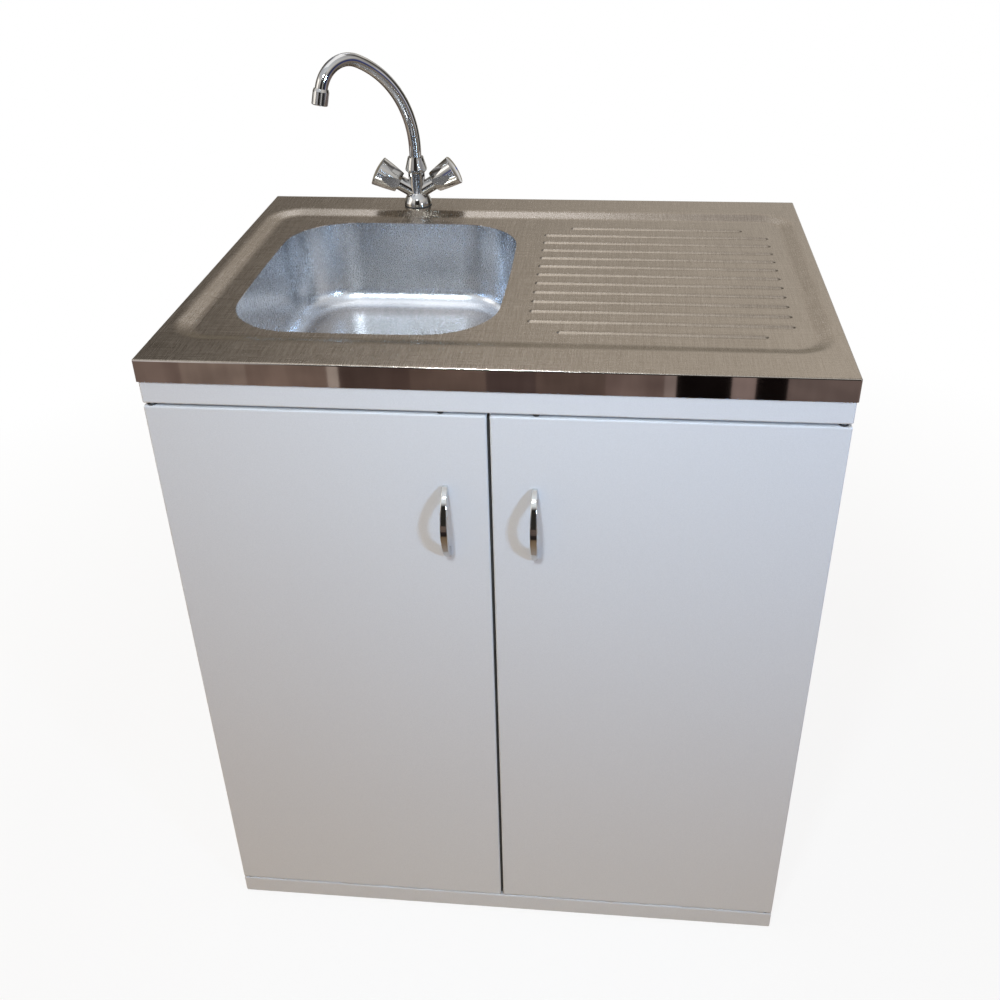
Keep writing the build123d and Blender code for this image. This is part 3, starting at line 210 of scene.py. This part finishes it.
def coat_finish():
    """Fine-textured powder coat: orange peel with a light speckle."""
    f = Finish("cabinet_coat", IOR=1.5)
    peel = f.noise(620, detail=2)
    speck = f.noise(1500, detail=1)
    cloud = f.noise(3, detail=2)
    colour = f.ramp(speck, (0.3, (0.56, 0.575, 0.6)), (0.7, (0.65, 0.665, 0.69)))
    low = (0.6, 0.6, 0.61)
    f.set("Base Color", f.mix(f.math("MULTIPLY", cloud, 0.4), colour, low))
    f.set("Roughness", f.ramp(peel, (0.3, 0.38), (0.7, 0.52)))
    f.bump(peel, 0.22, 0.0005)
    return f.material


def moulded(name, low, high, rough, scale=900, relief=0.1, **values):
    """Moulded plastic or rubber with a fine skin and slight flow marks."""
    f = Finish(name, **values)
    skin = f.noise(scale, detail=2)
    flow = f.noise(35, detail=3)
    colour = f.ramp(flow, (0.3, low), (0.7, high))
    f.set("Base Color", colour)
    f.set("Roughness", f.ramp(skin, (0.3, rough), (0.7, min(rough + 0.15, 1.0))))
    f.bump(skin, relief, 0.0003)
    return f.material


finishes = {
    "deck_steel": deck_finish(),
    "bowl_steel": bowl_finish(),
    "waste_steel": plain_metal("waste_steel", (0.52, 0.53, 0.55), (0.7, 0.71, 0.73), 0.14, 500, relief=0.08),
    "tap_chrome": chrome_finish("tap_chrome", (0.5, 0.49, 0.47), (0.62, 0.61, 0.6)),
    "handle_chrome": chrome_finish("handle_chrome", (0.58, 0.56, 0.54), (0.7, 0.69, 0.67)),
    "cabinet_coat": coat_finish(),
    "zinc": plain_metal("zinc", (0.48, 0.48, 0.46), (0.64, 0.64, 0.61), 0.3, 700),
    "brass": plain_metal("brass", (0.55, 0.4, 0.17), (0.74, 0.58, 0.3), 0.2, 800, (1, 1, 0.2)),
    "black_rubber": moulded("black_rubber", (0.02, 0.02, 0.02), (0.04, 0.04, 0.038), 0.6, relief=0.25),
    "grey_rubber": moulded("grey_rubber", (0.2, 0.2, 0.2), (0.28, 0.28, 0.275), 0.6, relief=0.25),
    "trap_plastic": moulded("trap_plastic", (0.78, 0.78, 0.76), (0.86, 0.86, 0.84), 0.3, Coat_Weight=0.15),
    "aerator_plastic": moulded("aerator_plastic", (0.6, 0.62, 0.62), (0.74, 0.75, 0.75), 0.4),
    "dark_plastic": moulded("dark_plastic", (0.04, 0.04, 0.042), (0.07, 0.07, 0.072), 0.45),
    "catch_plastic": moulded("catch_plastic", (0.7, 0.7, 0.68), (0.8, 0.8, 0.78), 0.4),
    "hot_mark": moulded("hot_mark", (0.6, 0.03, 0.03), (0.72, 0.045, 0.04), 0.15, 200, 0.05),
    "cold_mark": moulded("cold_mark", (0.03, 0.09, 0.52), (0.045, 0.13, 0.64), 0.15, 200, 0.05),
}

for subpart in record["subparts"]:
    node = nodes[subpart["node"]]
    finish = finishes[subpart["material_slot"]]
    if not node.material_slots:
        node.data.materials.append(finish)
    for slot in node.material_slots:
        slot.material = finish


# ---------------------------------------------------------------- floor and studio


def build_floor():
    """A pale floor that keeps the object's shadow. For reflected rays it glows with a painted reflection of
    a darker tiled interior, which polished metal shows.
    """
    side = 3.2  # from the middle to each edge
    warm_bounce, shadow_grey = (0.86, 0.66, 0.43), (0.9, 0.9, 0.9)
    mesh = bpy.data.meshes.new("floor")
    corners = [(-side, -side, 0), (side, -side, 0), (side, side, 0), (-side, side, 0)]
    mesh.from_pydata(corners, [], [(0, 1, 2, 3)])
    floor = bpy.data.objects.new("floor", mesh)
    bpy.context.scene.collection.objects.link(floor)
    material = bpy.data.materials.new("floor")
    material.use_nodes = True
    t = Tree(material.node_tree)
    t.tree.nodes.remove(t.tree.nodes["Principled BSDF"])
    out = t.tree.nodes["Material Output"]
    paths = t.add("ShaderNodeLightPath").outputs
    x, y, _ = t.split(t.add("ShaderNodeTexCoord").outputs["Object"])
    far = t.math("SQRT", t.math("ADD", t.math("MULTIPLY", x, x), t.math("MULTIPLY", y, y)))
    seen = t.math("MAXIMUM", paths["Is Camera Ray"], paths["Is Transmission Ray"])
    share = t.math("DIVIDE", far, side)
    reach = t.ramp(share, (0.25, 0.86), (0.6, 1.0))
    matt = t.add("ShaderNodeBsdfDiffuse")
    t.plug(t.mix(seen, warm_bounce, shadow_grey), matt.inputs["Color"])
    white = t.add("ShaderNodeEmission")
    pale = t.add("ShaderNodeMixShader")
    t.plug(t.math("MULTIPLY", seen, reach), pale.inputs[0])
    t.plug(matt.outputs[0], pale.inputs[1])
    t.plug(white.outputs[0], pale.inputs[2])
    # Painted reflection: for reflected rays only, the floor glows in rings of dim tile colour and upright
    # bands, standing in for a darker interior.
    painted_reflection_tiles = t.ramp(
        share,
        (0.1, (0.34, 0.3, 0.27)),
        (0.24, (0.26, 0.19, 0.13)),
        (0.34, (0.2, 0.14, 0.09)),
        (0.38, (0.02, 0.015, 0.015)),
        (0.52, (0.035, 0.025, 0.025)),
    )
    camera_x, fan_y = 0.14, 0.8  # the painted reflection's upright bands fan out from this place, as upright things do in a mirror
    reach_back = t.math("MAXIMUM", t.math("SUBTRACT", fan_y, y), 0.3)
    fan = t.math("DIVIDE", t.math("SUBTRACT", x, camera_x), reach_back)
    painted_reflection_blocks = t.ramp(
        t.math("ADD", fan, 0.55),
        (0.0, (0.26, 0.2, 0.175)),
        (0.1, (0.36, 0.29, 0.25)),
        (0.17, (0.27, 0.205, 0.175)),
        (0.254, (0.6, 0.53, 0.48)),
        (0.269, (0.14, 0.1, 0.088)),
        (0.34, (0.19, 0.14, 0.12)),
        (0.42, (0.11, 0.08, 0.075)),
        (0.47, (0.17, 0.125, 0.11)),
        (0.54, (0.24, 0.18, 0.165)),
        (0.6, (0.42, 0.35, 0.33)),
        (0.613, (0.008, 0.006, 0.006)),
        (0.665, (0.36, 0.29, 0.275)),
        (0.69, (0.008, 0.006, 0.006)),
        (0.721, (0.22, 0.175, 0.165)),
        (0.8, (0.28, 0.22, 0.21)),
        ease="CONSTANT",
    )
    ripple = t.add("ShaderNodeTexNoise")
    t.plug(t.add("ShaderNodeTexCoord").outputs["Object"], ripple.inputs["Vector"])
    ripple.inputs["Scale"].default_value = 4.0
    waves = t.ramp(ripple.outputs["Fac"], (0.3, 0.65), (0.7, 1.0))
    painted_reflection_blocks = t.mix(1.0, painted_reflection_blocks, waves, "MULTIPLY")
    painted_reflection_glow = t.add("ShaderNodeEmission")
    t.plug(t.mix(t.ramp(share, (0.5, 0.0), (0.54, 1.0)), painted_reflection_tiles, painted_reflection_blocks), painted_reflection_glow.inputs["Color"])
    blend = t.add("ShaderNodeMixShader")
    t.plug(paths["Is Glossy Ray"], blend.inputs[0])
    t.plug(pale.outputs[0], blend.inputs[1])
    t.plug(painted_reflection_glow.outputs[0], blend.inputs[2])
    t.plug(blend.outputs[0], out.inputs["Surface"])
    mesh.materials.append(material)


def build_world():
    """White behind the object, a soft dome for light, and a studio with dark gaps for the metal to show.

    turn goes round the studio from the front (0) by the left (0.25), the back (0.5) and the right (0.75).
    rise goes from straight down (0) to straight up (1).
    """
    world = bpy.data.worlds.new("studio")
    bpy.context.scene.world = world
    world.use_nodes = True
    t = Tree(world.node_tree)
    t.tree.nodes.clear()
    x, y, z = t.split(t.add("ShaderNodeTexCoord").outputs["Generated"])
    turn = t.math("MULTIPLY_ADD", t.math("ARCTAN2", x, y), 0.5 / math.pi, 0.5)
    dusk, blue, doorway_dark = (0.3, 0.27, 0.21), (0.06, 0.08, 0.26), (0.03, 0.027, 0.024)
    warm_dome, white = (1.0, 0.86, 0.73, 1), (1, 1, 1, 1)
    panels = t.ramp(
        turn,
        (0.0, 0.1),
        (0.03, 0.5),
        (0.06, 0.95),
        (0.09, blue),
        (0.12, 0.03),
        (0.18, 0.04),
        (0.23, 0.9),
        (0.26, 0.9),
        (0.28, 0.05),
        (0.42, dusk),
        (0.53, dusk),
        (0.545, 1.0),
        (0.57, 1.0),
        (0.59, dusk),
        (0.64, 0.04),
        (0.71, 0.03),
        (0.74, 0.95),
        (0.78, blue),
        (0.83, 0.04),
        (0.9, 0.04),
        (0.93, 0.95),
        (1.0, 0.1),
    )
    sweep = t.ramp(
        turn,
        (0.0, (1.0, 0.98, 0.96)),
        (0.27, (0.75, 0.73, 0.71)),
        (0.33, (0.2, 0.185, 0.16)),
        (0.425, (0.08, 0.07, 0.06)),
        (0.458, (0.33, 0.3, 0.27)),
        (0.485, (0.66, 0.62, 0.57)),
        (0.515, (0.88, 0.84, 0.79)),
        (0.55, (1.0, 0.97, 0.92)),
        (0.585, (0.8, 0.77, 0.74)),
        (0.61, (0.16, 0.15, 0.13)),
        (0.68, (0.12, 0.11, 0.1)),
        (0.73, (0.72, 0.7, 0.68)),
        (1.0, (1.0, 0.98, 0.96)),
    )
    box = t.ramp(
        turn,
        (0.0, (0.9, 0.95, 1.0)),
        (0.27, (0.65, 0.68, 0.75)),
        (0.33, (0.2, 0.19, 0.18)),
        (0.4, (0.3, 0.32, 0.4)),
        (0.43, (0.95, 0.97, 1.0)),
        (0.49, (1.0, 1.0, 1.0)),
        (0.53, (0.62, 0.61, 0.64)),
        (0.585, (0.5, 0.5, 0.52)),
        (0.61, (0.16, 0.15, 0.13)),
        (0.68, (0.12, 0.11, 0.1)),
        (0.73, (0.6, 0.6, 0.62)),
        (1.0, (0.9, 0.95, 1.0)),
    )
    rise = t.math("MULTIPLY_ADD", z, 0.5, 0.5)
    sweep = t.mix(1.0, sweep, t.ramp(rise, (0.6, 0.6), (0.72, 1.0)), "MULTIPLY")
    dome = t.mix(t.ramp(rise, (0.75, 0.0), (0.81, 1.0)), sweep, box)
    dome = t.mix(t.ramp(rise, (0.93, 0.0), (0.975, 1.0)), dome, (0.8, 0.8, 0.81))
    low = t.ramp(z, (0.04, 0.0), (0.24, 1.0))
    metal = t.mix(low, panels, dome)
    ahead = t.ramp(turn, (0.0, 1.0), (0.045, 1.0), (0.06, 0.0), (0.93, 0.0), (0.945, 1.0))
    doorway = t.math("MULTIPLY", ahead, t.ramp(z, (0.5, 1.0), (0.62, 0.0)))
    metal = t.mix(doorway, metal, doorway_dark)
    paths = t.add("ShaderNodeLightPath")
    shades = []
    for colour, strength in ((warm_dome, 0.5), (metal, 1.0), (white, 1.0)):
        shade = t.add("ShaderNodeBackground")
        t.plug(colour, shade.inputs["Color"])
        shade.inputs["Strength"].default_value = strength
        shades.append(shade.outputs[0])
    inner = t.add("ShaderNodeMixShader")
    t.plug(paths.outputs["Is Glossy Ray"], inner.inputs[0])
    t.plug(shades[0], inner.inputs[1])
    t.plug(shades[1], inner.inputs[2])
    outer = t.add("ShaderNodeMixShader")
    t.plug(paths.outputs["Is Camera Ray"], outer.inputs[0])
    t.plug(inner.outputs[0], outer.inputs[1])
    t.plug(shades[2], outer.inputs[2])
    t.plug(outer.outputs[0], t.add("ShaderNodeOutputWorld").inputs["Surface"])


def lamp(name, place, target, size, power, colour, spread=180):
    """A rectangular soft lamp aimed at a point, with its beam's spread in degrees."""
    data = bpy.data.lights.new(name, "AREA")
    data.shape = "RECTANGLE"
    data.size, data.size_y = size
    data.energy = power
    data.color = colour
    data.spread = math.radians(spread)
    light = bpy.data.objects.new(name, data)
    light.location = place
    light.rotation_mode = "QUATERNION"
    light.rotation_quaternion = (Vector(target) - Vector(place)).to_track_quat("-Z", "Y")
    bpy.context.scene.collection.objects.link(light)


def build_camera():
    """The photograph's viewpoint: its place, direction and lens were fitted to the object's corners."""
    place = Vector((0.1359, -1.3582, 1.4342))
    data = bpy.data.cameras.new("camera")
    camera = bpy.data.objects.new("camera", data)
    bpy.context.scene.collection.objects.link(camera)
    ahead = Vector((-0.09062, 0.84643, -0.52474)).normalized()
    right = Vector((0.99524, 0.09591, -0.01716)).normalized()
    up = right.cross(ahead).normalized()
    turned = Matrix((right, up, -ahead)).transposed().to_4x4()
    camera.matrix_world = Matrix.Translation(place) @ turned
    data.sensor_width = 36.0
    data.lens = 39.614
    data.shift_x = -0.0076
    data.shift_y = -0.0203
    bpy.context.scene.camera = camera


build_floor()
build_world()
lamp("front", (-0.2, -1.51, 2.15), (0, -0.2, 0.95), (0.2, 0.16), 4.2, (0.78, 0.9, 1.0), 80)
lamp("window", (1.5, -1.7, 1.43), (0.1, -0.2, 0.9), (0.2, 0.2), 4.6, (0.42, 0.66, 1.0), 80)
lamp("strip", (-0.45, 2.26, 3.0), (-0.25, 0.2, 0.9), (1.1, 0.12), 0.24, (0.75, 0.82, 1.0), 70)
lamp("top", (-0.4, 0.3, 2.6), (0, 0, 0.9), (1.6, 1.2), 4, (0.95, 0.97, 1.0))
lamp("side", (-2.2, -0.6, 1.5), (0, 0, 0.6), (1.0, 1.4), 6, (1.0, 0.96, 0.9))
build_camera()

bpy.context.scene.view_settings.view_transform = "Standard"
